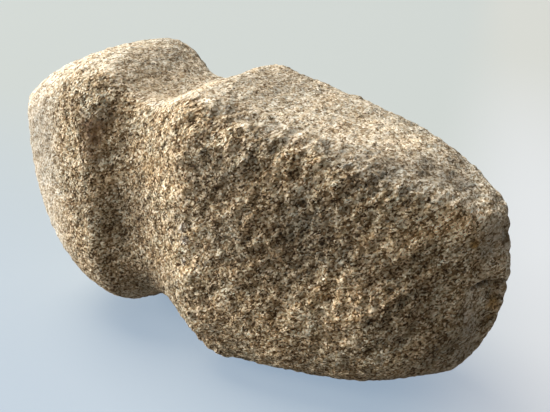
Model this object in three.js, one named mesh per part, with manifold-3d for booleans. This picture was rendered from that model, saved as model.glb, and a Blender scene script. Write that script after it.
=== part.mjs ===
// A grooved stone axe head of hard, granular stone, made in the old way: a river cobble is pecked to
// an even body, a groove for the haft is pecked right round it, the far end is ground down to a
// cutting edge, and use has broken flakes off that edge. It is one piece of stone throughout.
//
// Millimetres. The axe lies on one narrow side, so its two broad faces stand upright:
// +X runs from the poll (the hammering end) to the cutting edge, +Z is up across the broad faces,
// and the broad faces look along -Y (the front) and +Y (the back).

import * as THREE from 'three';
import { mergeVertices } from 'three/addons/utils/BufferGeometryUtils.js';
import Module from 'manifold-3d';

// Places along the axe, measured from the middle of the groove.
const POLL_END = -62;
const BLADE_HIP = 40;
const BLADE_MIDDLE = 58;
const BEVEL_START = 74;
const BIT_START = 88;
const EDGE = 102;

// Heights of the upper narrow side over the ground.
const POLL_TOP = 76;
const POLL_CREST_TOP = 86.5;
const SHOULDER_TOP = 83;
const HIP_TOP = 79;
const MIDDLE_TOP = 75;
const BIT_TOP = 64.5;
const EDGE_TOP = 57.5;

// Heights of the lower narrow side. What would be below 0 has been worn off flat, under the poll's
// crest and under the blade, and the axe rests on those two flats.
const POLL_BOTTOM = 5;
const POLL_CREST_BOTTOM = 1;
const HEEL_BOTTOM = -0.4;
const KEEL_BOTTOM = -0.8;
const MIDDLE_BOTTOM = 0.5;
const BIT_BOTTOM = 9;
const EDGE_BOTTOM = 17.5;

// Heights of the fullest part of each broad face.
const POLL_TIP_HEIGHT = 62.5;
const BODY_HEIGHT = 42;
const EDGE_HEIGHT = 40;

// The thickness at the shoulder, where it is greatest, how much thinner the body is elsewhere, and
// what is left at the cutting edge.
const THICKNESS = 61.5;
const POLL_THINNER = 3.5;
const MIDDLE_THINNER = 7;
const BEVEL_THINNER = 14.5;
const EDGE_THICKNESS = 8;
// How far in front of the long axis the middle of that thickness lies.
const POLL_FORWARD = -1;
const SHOULDER_FORWARD = 1.75;
const MIDDLE_FORWARD = 0.25;
const BEVEL_FORWARD = 1;

// How square the body's four corners are: 2 is an ellipse, more is boxier.
const CORNER_TOP_POLL = 3.8;
const CORNER_TOP_BLADE = 6.4;
const CORNER_TOP_BACK = 3.6;
const CORNER_BOTTOM_POLL = 3.2;
const CORNER_BOTTOM_BLADE = 2.9;
// How much higher the upper narrow side is at its back corner than along its middle, and how much
// lower the poll's underside is there, which therefore touches the ground behind the middle.
const TOP_BACK_RISE = 1;
const POLL_BACK_DROP = 7;

// How bluntly each end rounds off: 2 is an ellipse, more keeps full size for longer.
const POLL_BLUNT_UP = 3;
const POLL_BLUNT_DOWN = 1.9;
const POLL_BLUNT_ACROSS = 1.55;
const BIT_BLUNT_UP = 2.6;
const BIT_BLUNT_DOWN = 2.2;
const BIT_BLUNT_ACROSS = 4;

// The haft groove on each side of the body: its depth, and where along the axe its poll crest, its
// deepest line and its shoulder crest lie. On the broad faces the wall at the poll is the steep one.
// A crispness under 1 gives that side a broader floor and sharper crests.
const GROOVE_TOP = { depth: 9.5, pollCrest: -17, line: 4, shoulderCrest: 25, crispness: 1 };
const GROOVE_BACK = { depth: 8, pollCrest: -16, line: -1, shoulderCrest: 22, crispness: 1 };
const GROOVE_BOTTOM = { depth: 10, pollCrest: -17, line: 4.5, shoulderCrest: 22.5, crispness: 0.4 };
const GROOVE_FRONT = { depth: 5.5, pollCrest: -16, line: -5, shoulderCrest: 22.5, crispness: 0.6 };

// How much shallower the groove is on the body's four corners, as a share of its depth, and how
// sharply it turns there from one side's sizes to the next one's: 1 is gradual, more is sharper.
const GROOVE_CORNER_EASE = 0.2;
const GROOVE_TURNING = 1.2;

// Pecking leaves the surface slightly uneven: how deep its hollows are and how long, and the waves
// that make them up, each with its turns along that length and its turns round the body.
const PECKING_DEPTH = 0.5;
const PECKING_LENGTH = 9;
const PECKING_WAVES = [
  { along: 1, round: 2 },
  { along: 1.7, round: -3 },
  { along: 0.6, round: 5 },
];

// Flakes broken off the cutting edge by use. Each scar is a shallow hollow: how far behind the edge
// it lies, where round the section (0 the back face, 90 the top, 180 the front face, 270 the
// underside), the radius of the hollow and how deep it bites.
const WIDE_SCAR = 18;
const MIDDLE_SCAR = 13;
const SMALL_SCAR = 7;
const FLAKES = [
  { behind: 2.5, around: 193, radius: WIDE_SCAR, bite: 2.2 },
  { behind: 3.5, around: 216, radius: MIDDLE_SCAR, bite: 2 },
  { behind: 6, around: 245, radius: MIDDLE_SCAR, bite: 1.6 },
  { behind: 2, around: 160, radius: MIDDLE_SCAR, bite: 1.3 },
  { behind: 1, around: 120, radius: SMALL_SCAR, bite: 1 },
  { behind: 3, around: 8, radius: WIDE_SCAR, bite: 1.8 },
  { behind: 4, around: 332, radius: MIDDLE_SCAR, bite: 1.8 },
];

// How finely the body and the scars are faceted, and how much the body's rings crowd to its ends:
// 0 is evenly spaced and 1 is spaced as on a half circle.
const STATIONS = 80;
const AROUND = 64;
const SCAR_DETAIL = 5;
const CROWDING = 0.7;
// The step along the surface from which its direction is taken, and the gap that counts as none.
const SURFACE_STEP = 0.2;
const SAME_POINT = 1e-4;

// A smooth curve through [x, value] pairs, which never overshoots them.
function profile(...points) {
  const xs = points.map((p) => p[0]);
  const ys = points.map((p) => p[1]);
  const steps = xs.slice(1).map((x, i) => (ys[i + 1] - ys[i]) / (x - xs[i]));
  const slopes = ys.map((_, i) => {
    if (i === 0) return steps[0];
    if (i === ys.length - 1) return steps[i - 1];
    if (steps[i - 1] * steps[i] <= 0) return 0;
    return (2 * steps[i - 1] * steps[i]) / (steps[i - 1] + steps[i]);
  });
  return (x) => {
    if (x <= xs[0]) return ys[0];
    if (x >= xs[xs.length - 1]) return ys[ys.length - 1];
    const i = xs.findIndex((next, k) => k > 0 && x <= next) - 1;
    const h = xs[i + 1] - xs[i];
    const t = (x - xs[i]) / h;
    const fromLeft = (1 + 2 * t) * (1 - t) ** 2 * ys[i] + t * (1 - t) ** 2 * h * slopes[i];
    const fromRight = t * t * (3 - 2 * t) * ys[i + 1] + t * t * (t - 1) * h * slopes[i + 1];
    return fromLeft + fromRight;
  };
}

const POLL_START = GROOVE_FRONT.pollCrest;
const SHOULDER = GROOVE_FRONT.shoulderCrest;

const topAt = profile([POLL_END, POLL_TOP], [POLL_START, POLL_CREST_TOP],
  [GROOVE_TOP.shoulderCrest, SHOULDER_TOP], [BLADE_HIP, HIP_TOP], [BLADE_MIDDLE, MIDDLE_TOP],
  [BIT_START, BIT_TOP], [EDGE, EDGE_TOP]);
const bottomAt = profile([POLL_END, POLL_BOTTOM], [POLL_START, POLL_CREST_BOTTOM],
  [SHOULDER, HEEL_BOTTOM], [BLADE_HIP, KEEL_BOTTOM], [BLADE_MIDDLE, MIDDLE_BOTTOM],
  [BIT_START, BIT_BOTTOM], [EDGE, EDGE_BOTTOM]);
const middleAt = profile([POLL_END, POLL_TIP_HEIGHT], [POLL_START, BODY_HEIGHT], [BLADE_MIDDLE, BODY_HEIGHT],
  [EDGE, EDGE_HEIGHT]);
// From the long axis to one broad face: toward is 1 for the front face and -1 for the back face.
function faceProfile(toward) {
  const half = (thinner, forward) => (THICKNESS - thinner) / 2 + toward * forward;
  return profile([POLL_START, half(POLL_THINNER, POLL_FORWARD)], [SHOULDER, half(0, SHOULDER_FORWARD)],
    [BLADE_MIDDLE, half(MIDDLE_THINNER, MIDDLE_FORWARD)],
    [BEVEL_START, half(BEVEL_THINNER, BEVEL_FORWARD)], [EDGE, EDGE_THICKNESS / 2]);
}

const frontAt = faceProfile(1);
const backAt = faceProfile(-1);

const cornerTopAt = profile([POLL_START, CORNER_TOP_POLL], [SHOULDER, CORNER_TOP_BLADE]);
const cornerBottomAt = profile([POLL_START, CORNER_BOTTOM_POLL], [SHOULDER, CORNER_BOTTOM_BLADE]);
const dropAt = profile([POLL_START, POLL_BACK_DROP], [SHOULDER, 0]);

// 1 in the body, falling to 0 where an end of the axe rounds off.
function roundOff(x, from, to, bluntness) {
  const t = Math.min(Math.max((x - from) / (to - from), 0), 1);
  return Math.sqrt(1 - t ** bluntness);
}

// The groove's depth at one point: full along its deepest line and nothing beyond its two crests.
function grooveDepth(x, c, s) {
  const sides = [[GROOVE_TOP, Math.max(s, 0)], [GROOVE_BOTTOM, Math.max(-s, 0)],
    [GROOVE_BACK, Math.max(c, 0)], [GROOVE_FRONT, Math.max(-c, 0)]];
  const weights = sides.map(([, share]) => share ** GROOVE_TURNING);
  const all = weights.reduce((sum, weight) => sum + weight, 0);
  const blend = (key) => sides.reduce((sum, [side], i) => sum + side[key] * weights[i], 0) / all;
  const line = blend('line');
  const crest = x < line ? blend('pollCrest') : blend('shoulderCrest');
  const t = Math.min((x - line) / (crest - line), 1);
  const fullDepth = blend('depth') * (1 - GROOVE_CORNER_EASE * (2 * c * s) ** 2);
  return fullDepth * (0.5 + 0.5 * Math.cos(Math.PI * t)) ** blend('crispness');
}

// The pecked unevenness at one point, as a few long waves that run round the body at a slant.
function pecking(x, angle) {
  const wave = ({ along, round }) => Math.sin((along * x) / PECKING_LENGTH + round * angle);
  const total = PECKING_WAVES.reduce((sum, each) => sum + wave(each), 0);
  return (PECKING_DEPTH / PECKING_WAVES.length) * total;
}

function bodyPoint(x, angle) {
  const c = Math.cos(angle);
  const s = Math.sin(angle);
  const above = s > 0;
  const middle = middleAt(x);
  const pollTall = roundOff(x, POLL_START, POLL_END, above ? POLL_BLUNT_UP : POLL_BLUNT_DOWN);
  const bitTall = roundOff(x, BIT_START, EDGE, above ? BIT_BLUNT_UP : BIT_BLUNT_DOWN);
  const pollThick = roundOff(x, POLL_START, POLL_END, POLL_BLUNT_ACROSS);
  const bitThick = roundOff(x, BIT_START, EDGE, BIT_BLUNT_ACROSS);
  const hollow = grooveDepth(x, c, s) + pecking(x, angle);
  const high = (above ? topAt(x) - middle : middle - bottomAt(x)) - hollow;
  const wide = (c > 0 ? backAt(x) : frontAt(x)) - hollow;
  const cornerTop = c > 0 ? CORNER_TOP_BACK : cornerTopAt(x);
  const corner = above ? cornerTop : cornerBottomAt(x);
  const across = Math.sign(c) * Math.abs(c) ** (2 / corner);
  const up = Math.sign(s) * Math.abs(s) ** (2 / corner);
  const tilt = across * up * (above ? TOP_BACK_RISE : dropAt(x));
  const y = across * wide * pollThick * bitThick;
  const z = middle + (up * high + tilt) * pollTall * bitTall;
  return new THREE.Vector3(x, y, z);
}

// The body as rings of points from the poll to the edge, closer together where the ends round off.
function stoneBody() {
  const positions = [POLL_END, 0, POLL_TIP_HEIGHT];
  const index = [];
  const rings = STATIONS - 1;
  for (let j = 1; j <= rings; j++) {
    const t = j / STATIONS;
    const crowded = 0.5 - 0.5 * Math.cos(Math.PI * t);
    const x = POLL_END + (EDGE - POLL_END) * (t + CROWDING * (crowded - t));
    for (let i = 0; i < AROUND; i++) positions.push(...bodyPoint(x, (i / AROUND) * 2 * Math.PI).toArray());
  }
  positions.push(EDGE, 0, EDGE_HEIGHT);
  const last = positions.length / 3 - 1;
  const at = (j, i) => 1 + (j - 1) * AROUND + (i % AROUND);
  for (let i = 0; i < AROUND; i++) {
    index.push(0, at(1, i + 1), at(1, i));
    for (let j = 1; j < rings; j++) {
      index.push(at(j, i), at(j, i + 1), at(j + 1, i + 1));
      index.push(at(j, i), at(j + 1, i + 1), at(j + 1, i));
    }
    index.push(last, at(rings, i), at(rings, i + 1));
  }
  const geometry = new THREE.BufferGeometry();
  geometry.setAttribute('position', new THREE.Float32BufferAttribute(positions, 3));
  geometry.setIndex(index);
  return geometry;
}

// The ball whose cut leaves one flake scar: it stands off the surface along the surface's normal, so
// that it bites in by just the scar's depth.
function flakeCutter({ behind, around, radius, bite }) {
  const x = EDGE - behind;
  const angle = THREE.MathUtils.degToRad(around);
  const turn = SURFACE_STEP / radius;
  const at = bodyPoint(x, angle);
  const along = bodyPoint(x + SURFACE_STEP, angle).sub(bodyPoint(x - SURFACE_STEP, angle));
  const round = bodyPoint(x, angle + turn).sub(bodyPoint(x, angle - turn));
  const outward = round.cross(along).normalize();
  const ball = new THREE.IcosahedronGeometry(radius, SCAR_DETAIL);
  const centre = at.addScaledVector(outward, radius - bite);
  return ball.translate(centre.x, centre.y, centre.z);
}

const wasm = await Module();
wasm.setup();

function toSolid(geometry) {
  geometry.deleteAttribute('normal');
  geometry.deleteAttribute('uv');
  const merged = mergeVertices(geometry, SAME_POINT);
  const vertProperties = new Float32Array(merged.attributes.position.array);
  const triVerts = new Uint32Array(merged.index.array);
  return new wasm.Manifold(new wasm.Mesh({ numProp: 3, vertProperties, triVerts }));
}

function toGeometry(solid) {
  const mesh = solid.getMesh();
  const geometry = new THREE.BufferGeometry();
  geometry.setAttribute('position', new THREE.Float32BufferAttribute(mesh.vertProperties, 3));
  geometry.setIndex(new THREE.Uint32BufferAttribute(mesh.triVerts, 1));
  return geometry;
}

// Everything under the ground that the axe rests on, whose cut leaves the two flats.
function ground() {
  const length = EDGE - POLL_END;
  return new THREE.BoxGeometry(2 * length, 2 * length, length).translate(0, 0, -length / 2);
}

let solid = toSolid(stoneBody()).subtract(toSolid(ground()));
for (const flake of FLAKES) solid = solid.subtract(toSolid(flakeCutter(flake)));

// The origin is on the ground, under the middle of the axe's length and thickness.
const geometry = toGeometry(solid);
geometry.computeBoundingBox();
const middle = geometry.boundingBox.getCenter(new THREE.Vector3());
geometry.translate(-middle.x, -middle.y, -geometry.boundingBox.min.z);
geometry.computeVertexNormals();

const stone = new THREE.MeshStandardMaterial({ color: 0x8a8478, roughness: 0.95, metalness: 0 });
const head = new THREE.Mesh(geometry, stone);
head.name = 'axe_head';
const axe = new THREE.Group();
axe.add(head);
export default axe;
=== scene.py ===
# A grooved stone axe head of coarse, granular stone, lying on a pale table in soft window light.
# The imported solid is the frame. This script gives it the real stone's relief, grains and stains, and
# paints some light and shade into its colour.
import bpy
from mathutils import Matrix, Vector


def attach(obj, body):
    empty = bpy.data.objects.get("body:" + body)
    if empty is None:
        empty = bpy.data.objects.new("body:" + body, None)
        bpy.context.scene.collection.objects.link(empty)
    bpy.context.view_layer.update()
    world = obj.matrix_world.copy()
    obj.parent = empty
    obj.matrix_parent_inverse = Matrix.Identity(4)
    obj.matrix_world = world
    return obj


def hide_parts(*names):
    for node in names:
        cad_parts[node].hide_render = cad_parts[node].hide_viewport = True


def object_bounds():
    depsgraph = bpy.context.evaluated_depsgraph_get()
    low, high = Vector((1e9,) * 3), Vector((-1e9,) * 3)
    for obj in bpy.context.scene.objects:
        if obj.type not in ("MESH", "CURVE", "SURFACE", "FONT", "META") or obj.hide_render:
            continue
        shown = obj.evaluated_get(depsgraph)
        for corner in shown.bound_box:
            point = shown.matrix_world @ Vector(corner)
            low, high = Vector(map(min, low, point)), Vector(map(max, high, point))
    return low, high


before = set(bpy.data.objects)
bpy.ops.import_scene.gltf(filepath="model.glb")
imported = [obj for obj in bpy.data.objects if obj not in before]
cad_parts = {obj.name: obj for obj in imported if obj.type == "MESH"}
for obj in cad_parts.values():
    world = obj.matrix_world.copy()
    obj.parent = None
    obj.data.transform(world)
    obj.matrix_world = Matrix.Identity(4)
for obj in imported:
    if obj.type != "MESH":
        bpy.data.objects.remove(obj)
cad_box = [list(corner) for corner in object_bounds()]

import math

import bpy
import numpy as np
from mathutils import Vector

MM = 0.001
SEED = 11

# The camera, as the photograph was taken: degrees round and above, and millimetres.
CAMERA_AZIMUTH = 33
CAMERA_ELEVATION = 21
CAMERA_DISTANCE = 262
CAMERA_TARGET = (11.5, 0.4, 44.6)
FIELD_OF_VIEW = 34
SENSOR = 36

# Soft windows round the stone, all as far away. Each has its degrees round (180 is the left) and up, its
# width and height in degrees as seen from the stone, how brightly it lights what faces it (a white
# surface that faces a window of 1 renders white), and its light's colour.
WINDOW_DISTANCE = 8000
SUNNY = (1.0, 0.965, 0.91)
CLOUDY = (1.0, 0.985, 0.96)
WINDOWS = {
    "high_window": (172, 59, 34, 34, 1.38, SUNNY),
    "left_window": (-160, 13, 28, 22, 0.98, CLOUDY),
    "side_door": (-138, 12, 24, 20, 0.29, CLOUDY),
    "front_window": (-100, 50, 40, 30, 0.21, CLOUDY),
    "back_window": (90, 60, 40, 26, 0.10, CLOUDY),
}
ROOM_COLOUR = (0.95, 0.97, 1.0)
ROOM_STRENGTH = 0.03

# The table, as the camera sees it: the bluish light that it keeps in the stone's shadow, near by, far
# away and at the right, and the colour that the windows light. TABLE_BOUNCE is what the stone gets of it.
TABLE_SHADE_NEAR = (0.275, 0.375, 0.510)
TABLE_SHADE_FAR = (0.345, 0.395, 0.410)
TABLE_SHADE_RIGHT = (0.490, 0.520, 0.575)
TABLE_SHADE_RIGHT_FAR = (0.400, 0.420, 0.415)
TABLE_LIT = (0.190, 0.190, 0.170)
TABLE_BOUNCE = (0.27, 0.26, 0.25)
# Stretches of the table in metres, from its middle under the stone: along Y, from near to far, and along
# TABLE_RIGHTWARDS, where the right side begins.
TABLE_NEAR_TO_FAR = (-0.12, 0.22)
TABLE_RIGHT_NEAR_TO_FAR = (0.10, 0.50)
TABLE_RIGHTWARDS = (0.94, 0.34, 0.0)
TABLE_RIGHT = (0.040, 0.095)
TABLE_SIZE = 40

# The stone's layers rise towards the cutting edge, by this many degrees. What is drawn along them is
# longer than it is high, by these factors.
FOLIATION_ANGLE = 40
RIPPLE_STRETCH = 1.8
PIT_STRETCH = 1.3
PATCH_STRETCH = 1.5

# The size of the mesh's squares, and the smoothing that hides the solid's facets.
MESH_STEP = 0.73
MESH_SMOOTHING = 6

# The relief, in millimetres: for each kind its size and its height or depth.
LUMPS = (24, 0.55)
RIPPLES = (5.5, 0.74)
CRUMBS = (2.3, 0.42)
PITS = (4.2, 1.00)
SMALL_PITS = (2.6, 0.64)
GRAININESS = (1.5, 0.24)
EDGE_SPALLS = (6.0, 0.25)
SUNK = 0.05
# The depth at which the hollows are darkest, and how far the surface may stand out or lie back for it;
# where it stands out it is lighter.
DARKEST_HOLLOW_DEPTH = 1.2
HOLLOW_DARKENING_RANGE = (-0.5, 1)

# A pit's least radius, and how much wider the widest is; the gap between crumbs and how deep it is. All
# are parts of the size.
PIT_LEAST = 0.35
PIT_WIDER = 0.45
CRUMB_GAP = 0.25
CRUMB_GAP_DEPTH = 0.6

# How rough the pecked surface is: everywhere, and how much more or less on the blade's broad faces, low
# down on the blade and at its right. Each place begins and is full at these millimetres along X, Y or Z.
ROUGHNESS = 0.36
BLADE_ROUGHER = 0.62
LOW_SMOOTHER = 0.50
RIGHT_ROUGHER = 0.20
ROUGHNESS_VARIES = (24, 0.25)
ROUGHNESS_RANGE = (0.2, 1.3)
BLADE_X = (-4, 6)
BLADE_Y = (12, 20)
LOW_Z = (36, 16)
LOW_X = (0, 30)
RIGHT_X = (20, 45)
RIGHT_Z = (20, 34)
EDGE_X = (60, 78)
POLL_X = (-42, -60)
# From which lean towards Y a surface counts as a broad face, and how much the poll goes the other way,
# where its colours are painted lighter and plainer, painted light, and its bumps are weaker.
BROAD_LEAN = (0.35, 0.85)
POLL_PLAINER = 0.25

# The rims of the marks and patches: the size and height of what makes them ragged, as a part of the
# radius, and where they fade. The swells' rims fade between the last two.
MARK_RAGGED = (3.0, 0.35)
MARK_FADE = (0.5, 1.15)
PATCH_RAGGED = (9.0, 0.3)
PATCH_FADE = (0.3, 1.2)
SWELL_FADE = (1, 0.3)

# Stains and mineral marks: for each its place in millimetres, its radius and its strength.
RUST = [
    ((-34.6, -23.8, 66.2), 5.5, 0.9),
    ((-35.5, -24.6, 60.2), 4.5, 0.6),
    ((-28.0, -18.5, 62.0), 3.5, 0.4),
]
OCHRE = [
    ((75.5, -8.1, 50.7), 1.4, 1.0),
    ((80.2, -1.0, 31.5), 2.4, 0.8),
    ((79.6, -1.5, 27.5), 1.8, 0.7),
    ((69.0, -11.6, 60.2), 1.4, 0.7),
    ((45.9, -26.7, 37.6), 1.3, 0.6),
    ((20.0, -30.0, 30.0), 1.4, 0.5),
    ((-14.0, -26.5, 60.0), 5.0, 0.35),
    ((-22.0, -10.0, 76.5), 9.0, 0.25),
]
PALE = [
    ((1.7, -30.5, 46.2), 1.7, 0.9),
    ((2.6, -30.5, 42.9), 1.6, 0.9),
    ((1.6, -30.5, 36.1), 1.3, 0.7),
]
DARK = [
    ((-31.0, -21.0, 70.5), 4.0, 0.7),
    ((67.5, -15.3, 40.4), 3.0, 0.4),
]
# Broad patches where the stone is painted darker (below 0) or lighter, longer along the layers: partly
# the stone's own tone, partly painted shade and painted light where light and shade fall on it. For each
# its place in millimetres, its radius and its tone.
TONE_AND_PAINTED_SHADING_PATCHES = [
    # The top and its rim towards the front face.
    ((12.6, -1.2, 81.0), 13, -0.20),
    ((48.0, 0.0, 74.5), 12, 0.15),
    ((65.0, 1.0, 67.0), 9, -0.27),
    ((25.0, -25.0, 72.5), 7, -0.25),
    ((50.0, -18.0, 70.0), 8, -0.30),
    # Painted shade: the dark band just below the top's lit rim.
    ((60.0, -14.0, 65.0), 9, -0.55),
    ((69.0, -5.0, 61.5), 6, -0.40),
    # The front face, from the groove to the edge.
    ((-5.0, -29.2, 56.0), 8, 0.35),
    ((5.5, -31.0, 38.0), 10, 0.40),
    ((11.0, -30.8, 63.0), 9, -0.32),
    ((15.0, -30.3, 42.0), 8, -0.35),
    ((24.0, -27.0, 18.0), 11, 0.30),
    ((40.3, -25.8, 51.0), 11, -0.45),
    ((46.0, -25.0, 35.5), 7, 0.55),
    ((53.0, -23.0, 48.5), 7, -0.40),
    ((60.0, -20.0, 57.0), 12, 0.60),
    ((71.0, -9.5, 56.0), 6, 0.55),
    ((61.8, -19.4, 30.8), 8, -0.35),
    ((72.0, -9.5, 21.0), 9, -0.35),
    ((78.0, -2.0, 50.0), 7, -0.35),
    # The groove and the poll.
    ((-25.0, -22.0, 41.0), 10, -0.30),
    ((-24.0, -21.0, 17.0), 9, -0.40),
    ((-42.0, -25.5, 58.0), 11, 0.28),
    ((-41.0, -26.5, 31.0), 6, 0.25),
    ((-63.0, -19.0, 58.0), 16, -0.27),
]

# Small flakes off the edge, dents and holes: for each its place in millimetres, the radius of the
# ball that would leave it, and its depth.
CHIPS = [
    ((79.2, 0.8, 52.6), 2.2, 0.9),
    ((80.8, -0.8, 35.2), 4.5, 1.9),
    ((80.5, -0.5, 31.0), 3.0, 0.8),
    ((79.5, -1.5, 26.5), 4.0, 0.9),
    ((76.6, -1.0, 17.5), 4.0, 1.1),
    ((76.5, 3.0, 58.0), 3.0, 0.7),
    ((74.0, -8.0, 31.0), 5.0, 1.0),
    ((72.5, -8.0, 22.0), 5.0, 0.9),
    ((76.0, -6.0, 43.0), 4.0, 0.8),
    ((17.5, -24.4, 72.4), 1.3, 0.9),
    ((16.3, 12.4, 79.6), 2.2, 0.7),
    ((20.1, 11.5, 78.5), 2.2, 0.6),
    ((24.5, 11.3, 77.7), 2.0, 0.7),
]

# Where the stone stands out a little: place, radius and rise in millimetres.
SWELLS = [
    ((77.5, 2.0, 57.5), 9, 1.7),
    ((81.0, 1.0, 46.0), 8, 0.8),
]

# A hairline crack low on the front face, and the step where a flake broke off the edge: for each its
# two ends, its width and its depth.
CRACKS = [
    ((50.3, -24.0, 22.3), (47.6, -18.8, 9.2), 0.9, 0.5),
    ((74.5, -7.5, 38.4), (81.6, 0.6, 38.4), 1.3, 1.6),
]
# Over which length and how far a crack wanders, and the parts of its length in which its ends fade.
CRACK_WANDER = (4, 0.5)
CRACK_BEGINS = (0, 0.15)
CRACK_ENDS = (1.05, 0.9)

# The minerals' colours, from the darkest grains to the palest.
MINERALS = [
    (0.0, (0.200, 0.139, 0.080)),
    (0.2, (0.361, 0.276, 0.178)),
    (0.4, (0.543, 0.449, 0.327)),
    (0.6, (0.695, 0.609, 0.483)),
    (0.8, (0.852, 0.775, 0.662)),
    (1.0, (0.985, 0.933, 0.846)),
]
GRAIN_HUES = [(0, (1.0, 0.94, 0.88)), (1, (0.95, 1.0, 1.0))]
WEATHER_HUES = [(0, (0.94, 0.94, 0.92)), (1, (1.0, 0.96, 0.90))]
WEATHER_FADE = (0.36, 0.64)
# The larger crystals' colours, how strongly they show, and from which random number on a cell is one.
PALE_CRYSTAL = ((0.95, 0.88, 0.75), 0.7, (0.90, 0.92))
DARK_CRYSTAL = ((0.10, 0.075, 0.055), 0.5, (0.91, 0.93))
CRYSTAL_RIM = (0.42, 0.34)
# The colour of each kind of mark, and how strongly it shows. The dark one is also painted into the
# cracks, darker where they are deeper, as painted shade.
STAINS = {
    "rust": ((0.120, 0.052, 0.020), 0.85),
    "ochre": ((0.50, 0.29, 0.085), 0.9),
    "dark_marks_and_painted_crack_shade": ((0.06, 0.05, 0.04), 0.8),
    "pale": ((0.92, 0.88, 0.80), 0.9),
}
# How far a mark goes with the grains, and how much of it covers all of them.
STAIN_BY_GRAIN = 0.85
STAIN_OVER_ALL = 0.15
STAINED_GRAINS = (0.30, 0.62)

# The sizes, in millimetres, of what the material draws. It is flattened across the layers.
GRAIN = 0.42
CRYSTAL = 1.15
BAND = 1.8
WEATHER = 6.0
SMALL_FACET = 0.54
LARGE_FACET = 1.1
WOBBLE = (0.6, 0.5)
GRAIN_STRETCH = 0.75
BAND_STRETCH = 0.4
# How far the small and the large facets of the grains lean: the most, as a slope in each direction, is
# half of this.
SMALL_FACET_LEAN = 1.45
LARGE_FACET_LEAN = 1.10
# The size and height of the fine and the coarse bumps, and how much higher one grain stands than another.
FINE_BUMPS = (0.8, 0.35)
COARSE_BUMPS = (1.9, 0.9)
GRAIN_STEP = 0.05
# How strongly the bands sort the minerals, and how much darker the hollows are.
BANDING = 0.9
HOLLOW_DARKENING = 0.25
# On the broad faces the colours are darker and have more contrast, painted shade of the grains' relief
# under grazing light, and the bumps are stronger than OTHER_BUMPS.
BROAD_PAINTED_SHADE = 0.65
BROAD_BUMPS = 0.45
OTHER_BUMPS = 0.55


def hashed(cells, salt):
    """One number from 0 to 1 for each lattice cell, the same on every run."""
    n = cells[..., 0] * 374761393 + cells[..., 1] * 668265263 + cells[..., 2] * 2147483647
    n = (n + salt * 1274126177 + SEED * 97) & 0xFFFFFFFF
    n = ((n ^ (n >> 13)) * 1274126177) & 0xFFFFFFFF
    n = ((n ^ (n >> 16)) * 2246822519) & 0xFFFFFFFF
    return ((n ^ (n >> 15)) & 0xFFFFFF) / float(0xFFFFFF)


def smooth_noise(points, size, salt):
    """Noise from -1 to 1 whose bumps are about size across."""
    p = points / size
    base = np.floor(p).astype(np.int64)
    t = p - base
    t = t * t * t * (t * (t * 6 - 15) + 10)
    total = np.zeros(len(p))
    for corner in np.ndindex(2, 2, 2):
        weight = np.ones(len(p))
        for axis in range(3):
            weight *= t[:, axis] if corner[axis] else 1 - t[:, axis]
        total += weight * hashed(base + np.array(corner), salt)
    return 2 * total - 1


def layered_noise(points, size, salt, octaves):
    """Smooth noise with ever finer and weaker noise on top of it."""
    total = np.zeros(len(points))
    share = 0.0
    for k in range(octaves):
        total += smooth_noise(points, size / 2**k, salt + k) / 2**k
        share += 1 / 2**k
    return total / share


def nearest_cells(points, size, salt):
    """The distances to the two nearest of scattered points, and the nearest one's random number."""
    p = points / size
    base = np.floor(p).astype(np.int64)
    first = np.full(len(p), 9.0)
    second = np.full(len(p), 9.0)
    number = np.zeros(len(p))
    for step in np.ndindex(3, 3, 3):
        cell = base + np.array(step) - 1
        centre = cell + np.stack([hashed(cell, salt + axis) for axis in range(3)], axis=-1)
        distance = np.linalg.norm(p - centre, axis=1)
        closer = distance < first
        second = np.where(closer, first, np.minimum(second, distance))
        number = np.where(closer, hashed(cell, salt + 3), number)
        first = np.where(closer, distance, first)
    return first, second, number


def pits(points, size, salt):
    """Round hollows scattered about size apart: 1 in the middle of one, 0 between them."""
    first, _, number = nearest_cells(points, size, salt)
    depth = np.clip(1 - first / (PIT_LEAST + PIT_WIDER * number), 0, 1)
    return depth * depth * (3 - 2 * depth)


def crumbs(points, size, salt):
    """Angular crumbs about size across, each at its own height from -1 to 1, with cracks between them."""
    first, second, number = nearest_cells(points, size, salt)
    flat = np.clip((second - first) / CRUMB_GAP, 0, 1)
    return flat * (2 * number - 1) - CRUMB_GAP_DEPTH * (1 - flat)


def along_layers(points, stretch):
    """The points in the stone's layers, squeezed along them, so that what is drawn there stretches."""
    a = math.radians(FOLIATION_ANGLE)
    x = points[:, 0] * math.cos(a) + points[:, 2] * math.sin(a)
    z = -points[:, 0] * math.sin(a) + points[:, 2] * math.cos(a)
    return np.stack([x / stretch, points[:, 1] / stretch, z], axis=1)


def soft_step(low, high, value):
    """0 up to low, 1 from high on, and a soft step between them. High may be below low."""
    t = np.clip((value - low) / (high - low), 0, 1)
    return t * t * (3 - 2 * t)


def marked(points, marks, salt):
    """How strongly each point is marked, from 0 to 1, with ragged rims."""
    size, tall = MARK_RAGGED
    ragged = tall * layered_noise(points, size, salt, octaves=2)
    total = np.zeros(len(points))
    for place, radius, strength in marks:
        reach = np.linalg.norm(points - np.array(place), axis=1) / radius + ragged
        total = np.maximum(total, strength * (1 - soft_step(*MARK_FADE, reach)))
    return total


def painted_shading_and_tone(points):
    """The broad patches' tone at each point, partly painted light and shade."""
    layers = along_layers(points, PATCH_STRETCH)
    size, tall = PATCH_RAGGED
    ragged = tall * layered_noise(points, size, salt=71, octaves=2)
    total = np.zeros(len(points))
    for place, radius, tone_and_painted_shading in TONE_AND_PAINTED_SHADING_PATCHES:
        centre = along_layers(np.array([place], float), PATCH_STRETCH)[0]
        reach = np.linalg.norm(layers - centre, axis=1) / radius + ragged
        total += tone_and_painted_shading * (1 - soft_step(*PATCH_FADE, reach))
    return total


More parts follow.
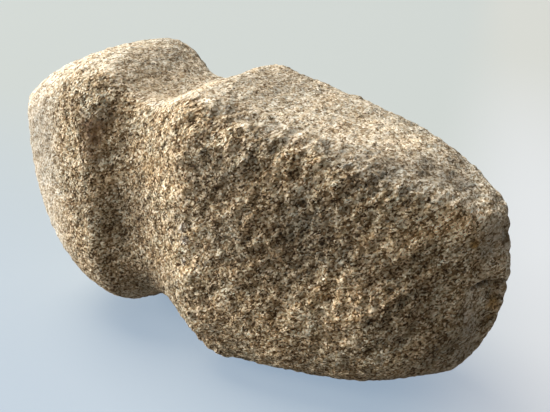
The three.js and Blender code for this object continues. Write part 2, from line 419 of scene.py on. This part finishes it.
def stone_mesh():
    """The axe head's own surface, remade as an even fine mesh."""
    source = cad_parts["axe_head"]
    stone = bpy.data.objects.new("axe_head_stone", source.data.copy())
    bpy.context.scene.collection.objects.link(stone)
    stone.data.materials.clear()
    remesh = stone.modifiers.new("remesh", "REMESH")
    remesh.mode = "VOXEL"
    remesh.voxel_size = MESH_STEP * MM
    remesh.adaptivity = 0
    smooth = stone.modifiers.new("smooth", "SMOOTH")
    smooth.factor = 0.5
    smooth.iterations = MESH_SMOOTHING
    bpy.context.view_layer.objects.active = stone
    stone.select_set(True)
    for name in ("remesh", "smooth"):
        bpy.ops.object.modifier_apply(modifier=name)
    return stone


def read(mesh, what):
    """The mesh's points or normals, one to a row."""
    values = np.empty(len(mesh.vertices) * 3, np.float32)
    mesh.vertices.foreach_get(what, values)
    return values.reshape(-1, 3).astype(float)


def write_attribute(mesh, name, values):
    attribute = mesh.attributes.new(name, "FLOAT", "POINT")
    attribute.data.foreach_set("value", values.astype(np.float32))


def roughness_map(points):
    """How rough the pecked surface is: most on the blade's broad faces, least low down on the blade."""
    x, y, z = points.T
    blade = soft_step(*BLADE_X, x) * soft_step(*BLADE_Y, np.abs(y))
    low = soft_step(*LOW_Z, z) * soft_step(*LOW_X, x)
    right = soft_step(*RIGHT_X, x) * soft_step(*RIGHT_Z, z)
    size, varies = ROUGHNESS_VARIES
    patches = varies * layered_noise(points, size, salt=3, octaves=2)
    rough = ROUGHNESS + BLADE_ROUGHER * blade - LOW_SMOOTHER * low + RIGHT_ROUGHER * right * blade
    return np.clip(rough + patches, *ROUGHNESS_RANGE)


def swells(points):
    """How far the stone stands out at each point, in millimetres."""
    rise = np.zeros(len(points))
    for place, radius, top in SWELLS:
        away = np.linalg.norm(points - np.array(place), axis=1) / radius
        rise = np.maximum(rise, top * soft_step(*SWELL_FADE, away))
    return rise


def chips(points, normals):
    """How deep the small chips bite at each point, in millimetres."""
    depth = np.zeros(len(points))
    for place, radius, bite in CHIPS:
        nearest = np.argmin(np.linalg.norm(points - np.array(place), axis=1))
        centre = points[nearest] + normals[nearest] * (radius - bite)
        away = points - centre
        along = np.sum(away * normals, axis=1)
        inside = along**2 + radius**2 - np.sum(away**2, axis=1)
        bitten = along + np.sqrt(np.maximum(inside, 0))
        near = np.linalg.norm(away, axis=1) < radius
        depth = np.maximum(depth, np.where(near, bitten, 0))
    return depth


def cracks(points):
    """How deep each point lies in a crack, in millimetres."""
    depth = np.zeros(len(points))
    size, reach = CRACK_WANDER
    wander = reach * smooth_noise(points, size, salt=121)[:, None]
    for start, end, width, deepest in CRACKS:
        start = np.array(start)
        line = np.array(end) - start
        t = np.clip((points - start) @ line / (line @ line), 0, 1)
        gap = np.linalg.norm(points - start - t[:, None] * line + wander, axis=1)
        fade = soft_step(*CRACK_BEGINS, t) * soft_step(*CRACK_ENDS, t)
        depth = np.maximum(depth, deepest * fade * soft_step(width, 0, gap))
    return depth


def relief(points, normals, cracked):
    """How far each point stands out, in millimetres."""
    rough = roughness_map(points)
    layers = along_layers(points, RIPPLE_STRETCH)
    size, tall = LUMPS
    height = tall * layered_noise(points, size, salt=5, octaves=2)
    size, tall = RIPPLES
    height += rough * tall * layered_noise(layers, size, salt=17, octaves=2)
    size, tall = CRUMBS
    height += rough * tall * crumbs(layers, size, salt=83)
    size, deep = PITS
    height -= rough * deep * pits(along_layers(points, PIT_STRETCH), size, salt=31)
    size, deep = SMALL_PITS
    height -= rough * deep * pits(points, size, salt=47)
    size, tall = GRAININESS
    height += tall * smooth_noise(points, size, salt=61)
    size, deep = EDGE_SPALLS
    edge = soft_step(*EDGE_X, points[:, 0])
    height -= edge * deep * (1 + crumbs(points, size, salt=91))
    return height + (swells(points) - chips(points, normals) - cracked)


def carve(stone):
    """Moves the mesh by the stone's relief, along its normals, and stores its marks."""
    mesh = stone.data
    points = read(mesh, "co") / MM
    normals = read(mesh, "normal")
    cracked = cracks(points)
    height = relief(points, normals, cracked)
    moved = points + normals * (height - SUNK)[:, None]
    low, high = (np.array(corner) / MM for corner in cad_box)
    moved = np.clip(moved, low, high)
    mesh.vertices.foreach_set("co", (moved * MM).astype(np.float32).ravel())
    mesh.update()

    poll = soft_step(*POLL_X, points[:, 0])
    # This mask also carries the broad faces' painted shade and the poll's painted light.
    broad = (1 - poll) * soft_step(*BROAD_LEAN, np.abs(normals[:, 1])) - POLL_PLAINER * poll
    write_attribute(mesh, "hollow", np.clip(-height / DARKEST_HOLLOW_DEPTH, *HOLLOW_DARKENING_RANGE))
    write_attribute(mesh, "broad", broad)
    write_attribute(mesh, "rust", marked(points, RUST, salt=101))
    write_attribute(mesh, "ochre", marked(points, OCHRE, salt=103))
    write_attribute(mesh, "pale", marked(points, PALE, salt=105))
    # The cracks are painted dark by their depth: painted shade, along with the real dark marks.
    write_attribute(mesh, "dark_marks_and_painted_crack_shade", np.maximum(marked(points, DARK, salt=107), cracked))
    # The patches' tone, partly painted light and shade.
    write_attribute(mesh, "tone_and_painted_shading", painted_shading_and_tone(points))


class Nodes:
    """A material's node tree, with short ways to add nodes and to join them."""

    def __init__(self, name):
        self.material = bpy.data.materials.new(name)
        self.material.use_nodes = True
        self.tree = self.material.node_tree
        self.tree.nodes.clear()
        self.output = self.add("ShaderNodeOutputMaterial")

    def add(self, kind, **settings):
        node = self.tree.nodes.new(kind)
        for name, value in settings.items():
            setattr(node, name, value)
        return node

    def feed(self, node, socket, value):
        """Gives a node's socket a constant or another node's output."""
        if isinstance(value, bpy.types.NodeSocket):
            self.tree.links.new(value, node.inputs[socket])
        else:
            node.inputs[socket].default_value = value

    def mapped(self, vector, turn=0.0, scale=(1, 1, 1)):
        node = self.add("ShaderNodeMapping")
        self.feed(node, "Vector", vector)
        self.feed(node, "Rotation", (0, turn, 0))
        self.feed(node, "Scale", scale)
        return node.outputs["Vector"]

    def noise(self, vector, size, detail):
        node = self.add("ShaderNodeTexNoise")
        self.feed(node, "Vector", vector)
        self.feed(node, "Scale", 1 / (size * MM))
        self.feed(node, "Detail", detail)
        return node

    def cells(self, vector, size):
        """Two random numbers for each cell about size across, and the distance from its middle."""
        node = self.add("ShaderNodeTexVoronoi")
        self.feed(node, "Vector", vector)
        self.feed(node, "Scale", 1 / (size * MM))
        parts = self.add("ShaderNodeSeparateColor")
        self.feed(parts, "Color", node.outputs["Color"])
        return parts.outputs["Red"], parts.outputs["Green"], node.outputs["Distance"]

    def vectors(self, operation, a, b):
        node = self.add("ShaderNodeVectorMath", operation=operation)
        self.feed(node, 0, a)
        self.feed(node, 1, b)
        return node.outputs["Value" if operation == "DOT_PRODUCT" else "Vector"]

    def facets(self, vector, size, salt):
        """Heights in metres of flat facets about size across, of which each leans its own way."""
        node = self.add("ShaderNodeTexVoronoi")
        moved = self.vectors("ADD", vector, (salt, salt, salt))
        self.feed(node, "Vector", moved)
        self.feed(node, "Scale", 1 / (size * MM))
        away = self.vectors("SUBTRACT", moved, node.outputs["Position"])
        lean = self.vectors("SUBTRACT", node.outputs["Color"], (0.5, 0.5, 0.5))
        return self.vectors("DOT_PRODUCT", away, lean)

    def calculate(self, operation, a, b, c=None):
        node = self.add("ShaderNodeMath", operation=operation)
        self.feed(node, 0, a)
        self.feed(node, 1, b)
        if c is not None:
            self.feed(node, 2, c)
        return node.outputs["Value"]

    def between(self, value, low, high):
        """A soft step from 0 at low to 1 at high."""
        node = self.add("ShaderNodeMapRange", interpolation_type="SMOOTHSTEP")
        self.feed(node, "Value", value)
        self.feed(node, "From Min", low)
        self.feed(node, "From Max", high)
        return node.outputs["Result"]

    def attribute(self, name):
        return self.add("ShaderNodeAttribute", attribute_name=name).outputs["Fac"]

    def blend(self, kind, amount, a, b):
        node = self.add("ShaderNodeMix", data_type="RGBA", blend_type=kind)
        self.feed(node, "Factor", amount)
        sockets = [s for s in node.inputs if s.type == "RGBA"]
        for socket, value in zip(sockets, (a, b)):
            if isinstance(value, bpy.types.NodeSocket):
                self.tree.links.new(value, socket)
            else:
                socket.default_value = (*value, 1)
        return [s for s in node.outputs if s.type == "RGBA"][0]

    def ramp(self, value, stops):
        node = self.add("ShaderNodeValToRGB")
        elements = node.color_ramp.elements
        while len(elements) < len(stops):
            elements.new(0.5)
        for element, (at, colour) in zip(elements, stops):
            element.position = at
            element.color = (*colour, 1)
        self.feed(node, "Fac", value)
        return node.outputs["Color"]


def grain_colour(nodes, vector, bands, kind, other):
    """The grains' own colours, with the larger crystals and the weathering."""
    # Which mineral each grain is, with more dark ones in some bands than in others.
    banding = nodes.noise(bands, BAND, 2).outputs["Fac"]
    plain = nodes.calculate("ADD", kind, -BANDING / 2)
    mineral = nodes.calculate("MULTIPLY_ADD", banding, BANDING, plain)
    colour = nodes.ramp(mineral, MINERALS)
    colour = nodes.blend("MULTIPLY", 1.0, colour, nodes.ramp(other, GRAIN_HUES))

    # Here and there a larger pale or dark crystal.
    first, second, middle = nodes.cells(vector, CRYSTAL)
    inside = nodes.between(middle, *CRYSTAL_RIM)
    for number, (crystal, strength, share) in ((first, PALE_CRYSTAL), (second, DARK_CRYSTAL)):
        amount = nodes.calculate("MULTIPLY", nodes.between(number, *share), inside)
        colour = nodes.blend("MIX", nodes.calculate("MULTIPLY", amount, strength), colour, crystal)

    # Greyer and warmer areas.
    weather = nodes.between(nodes.noise(bands, WEATHER, 3).outputs["Fac"], *WEATHER_FADE)
    return nodes.blend("MULTIPLY", 1.0, colour, nodes.ramp(weather, WEATHER_HUES))


def deepened(nodes, colour, broad):
    """The colour with the gaps between a broad face's grains darker, painted shade of its relief, darker
    in the hollows and lighter on the high spots, and with the broad patches' tone and painted light and
    shade.
    """
    # Painted shade: a gamma above 1 darkens a broad face's colours and deepens their contrast; below 1 on
    # the poll it paints light.
    deepen = nodes.add("ShaderNodeGamma")
    nodes.feed(deepen, "Color", colour)
    nodes.feed(deepen, "Gamma", nodes.calculate("MULTIPLY_ADD", broad, BROAD_PAINTED_SHADE, 1.0))
    darkened_hollows = nodes.calculate("MULTIPLY_ADD", nodes.attribute("hollow"), -HOLLOW_DARKENING, 1.0)
    # The patches' tone, partly painted light and shade, and the hollows' darkening.
    shade = nodes.calculate("MULTIPLY", nodes.calculate("ADD", nodes.attribute("tone_and_painted_shading"), 1.0), darkened_hollows)
    grey = nodes.add("ShaderNodeCombineColor")
    for channel in ("Red", "Green", "Blue"):
        nodes.feed(grey, channel, shade)
    return nodes.blend("MULTIPLY", 1.0, deepen.outputs["Color"], grey.outputs["Color"])


def stained(nodes, colour, kind):
    """The colour with the stains and marks, and the painted shade in the cracks, which come and go with
    the grains.
    """
    grains = nodes.between(kind, *STAINED_GRAINS)
    for name, (stain, strength) in STAINS.items():
        amount = nodes.calculate("MULTIPLY_ADD", grains, STAIN_BY_GRAIN, STAIN_OVER_ALL)
        amount = nodes.calculate("MULTIPLY", amount, nodes.attribute(name))
        colour = nodes.blend("MIX", nodes.calculate("MULTIPLY", amount, strength), colour, stain)
    return colour


def grain_bumps(nodes, vector, squeezed, other, broad):
    """The normals of grains that are broken to facets and each stand a little higher or lower."""
    small = nodes.calculate("MULTIPLY", nodes.facets(vector, SMALL_FACET, 0.3), SMALL_FACET_LEAN)
    large = nodes.calculate("MULTIPLY", nodes.facets(vector, LARGE_FACET, 0.7), LARGE_FACET_LEAN)
    height = nodes.calculate("ADD", small, large)
    for size, tall in (FINE_BUMPS, COARSE_BUMPS):
        bumps = nodes.noise(squeezed, size, 1).outputs["Fac"]
        height = nodes.calculate("MULTIPLY_ADD", bumps, tall * MM, height)
    height = nodes.calculate("MULTIPLY_ADD", other, GRAIN_STEP * MM, height)
    bump = nodes.add("ShaderNodeBump")
    nodes.feed(bump, "Strength", nodes.calculate("MULTIPLY_ADD", broad, BROAD_BUMPS, OTHER_BUMPS))
    nodes.feed(bump, "Distance", 1.0)
    nodes.feed(bump, "Height", height)
    return bump.outputs["Normal"]


def stone_material():
    nodes = Nodes("granular_stone")
    place = nodes.add("ShaderNodeTexCoord").outputs["Object"]
    layers = nodes.mapped(place, turn=math.radians(FOLIATION_ANGLE))
    squeezed = nodes.mapped(layers, scale=(GRAIN_STRETCH, GRAIN_STRETCH, 1))
    bands = nodes.mapped(layers, scale=(BAND_STRETCH, BAND_STRETCH, 1))

    # The grains' outlines wander a little.
    size, reach = WOBBLE
    wobble = nodes.add("ShaderNodeVectorMath", operation="MULTIPLY_ADD")
    nodes.feed(wobble, 0, nodes.noise(squeezed, size, 1).outputs["Color"])
    nodes.feed(wobble, 1, (reach * MM,) * 3)
    nodes.feed(wobble, 2, squeezed)
    vector = wobble.outputs["Vector"]
    kind, other = nodes.cells(vector, GRAIN)[:2]

    broad = nodes.attribute("broad")
    colour = grain_colour(nodes, vector, bands, kind, other)
    colour = stained(nodes, deepened(nodes, colour, broad), kind)
    shader = nodes.add("ShaderNodeBsdfPrincipled")
    nodes.feed(shader, "Base Color", colour)
    nodes.feed(shader, "Roughness", 0.85)
    nodes.feed(shader, "Specular IOR Level", 0.25)
    nodes.feed(shader, "Normal", grain_bumps(nodes, vector, squeezed, other, broad))
    nodes.feed(nodes.output, "Surface", shader.outputs["BSDF"])
    return nodes.material


def make_stone():
    stone = stone_mesh()
    carve(stone)
    stone.data.materials.append(stone_material())
    stone.data.shade_smooth()
    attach(stone, "root")
    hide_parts("axe_head")


def table_material():
    nodes = Nodes("pale_table")
    place = nodes.add("ShaderNodeTexCoord").outputs["Object"]
    forwards = nodes.vectors("DOT_PRODUCT", place, (0, 1, 0))
    rightwards = nodes.vectors("DOT_PRODUCT", place, TABLE_RIGHTWARDS)
    far = nodes.between(forwards, *TABLE_NEAR_TO_FAR)
    left = nodes.blend("MIX", far, TABLE_SHADE_NEAR, TABLE_SHADE_FAR)
    right_far = nodes.between(forwards, *TABLE_RIGHT_NEAR_TO_FAR)
    right = nodes.blend("MIX", right_far, TABLE_SHADE_RIGHT, TABLE_SHADE_RIGHT_FAR)
    glow = nodes.add("ShaderNodeEmission")
    nodes.feed(glow, "Color", nodes.blend("MIX", nodes.between(rightwards, *TABLE_RIGHT), left, right))
    lit = nodes.add("ShaderNodeBsdfDiffuse")
    nodes.feed(lit, "Color", (*TABLE_LIT, 1))
    seen = nodes.add("ShaderNodeAddShader")
    nodes.feed(seen, 0, glow.outputs["Emission"])
    nodes.feed(seen, 1, lit.outputs["BSDF"])
    bounce = nodes.add("ShaderNodeBsdfDiffuse")
    nodes.feed(bounce, "Color", (*TABLE_BOUNCE, 1))
    choose = nodes.add("ShaderNodeMixShader")
    nodes.feed(choose, 0, nodes.add("ShaderNodeLightPath").outputs["Is Camera Ray"])
    nodes.feed(choose, 1, bounce.outputs["BSDF"])
    nodes.feed(choose, 2, seen.outputs["Shader"])
    nodes.feed(nodes.output, "Surface", choose.outputs["Shader"])
    return nodes.material


def make_table():
    bpy.ops.mesh.primitive_plane_add(size=TABLE_SIZE, location=(0, 0, 0))
    table = bpy.context.object
    table.name = "table"
    table.data.materials.append(table_material())


def direction(azimuth, elevation):
    """The unit vector that points the given degrees round from +X and up."""
    a = math.radians(azimuth)
    e = math.radians(elevation)
    return Vector((math.cos(a) * math.cos(e), math.sin(a) * math.cos(e), math.sin(e)))


def make_lights():
    distance = WINDOW_DISTANCE * MM
    for name, (azimuth, elevation, width, height, level, colour) in WINDOWS.items():
        lamp = bpy.data.lights.new(name, "AREA")
        lamp.shape = "RECTANGLE"
        lamp.size = 2 * distance * math.tan(math.radians(width) / 2)
        lamp.size_y = 2 * distance * math.tan(math.radians(height) / 2)
        lamp.energy = level * math.pi**2 * distance**2
        lamp.color = colour
        window = bpy.data.objects.new(name, lamp)
        towards = direction(azimuth, elevation)
        window.location = towards * distance
        window.rotation_euler = towards.to_track_quat("Z", "Y").to_euler()
        bpy.context.scene.collection.objects.link(window)
    world = bpy.data.worlds.new("room")
    world.use_nodes = True
    background = world.node_tree.nodes["Background"]
    background.inputs["Color"].default_value = (*ROOM_COLOUR, 1)
    background.inputs["Strength"].default_value = ROOM_STRENGTH
    bpy.context.scene.world = world


def make_camera():
    back = direction(CAMERA_AZIMUTH - 90, CAMERA_ELEVATION)
    lens = bpy.data.cameras.new("camera")
    lens.sensor_width = SENSOR
    lens.lens = SENSOR / 2 / math.tan(math.radians(FIELD_OF_VIEW) / 2)
    lens.clip_start = 0.01
    camera = bpy.data.objects.new("camera", lens)
    camera.location = (Vector(CAMERA_TARGET) + back * CAMERA_DISTANCE) * MM
    camera.rotation_euler = back.to_track_quat("Z", "Y").to_euler()
    bpy.context.scene.collection.objects.link(camera)
    bpy.context.scene.camera = camera


make_camera()
make_lights()
make_table()
make_stone()
bpy.context.scene.view_settings.view_transform = "Standard"

bpy.context.view_layer.update()
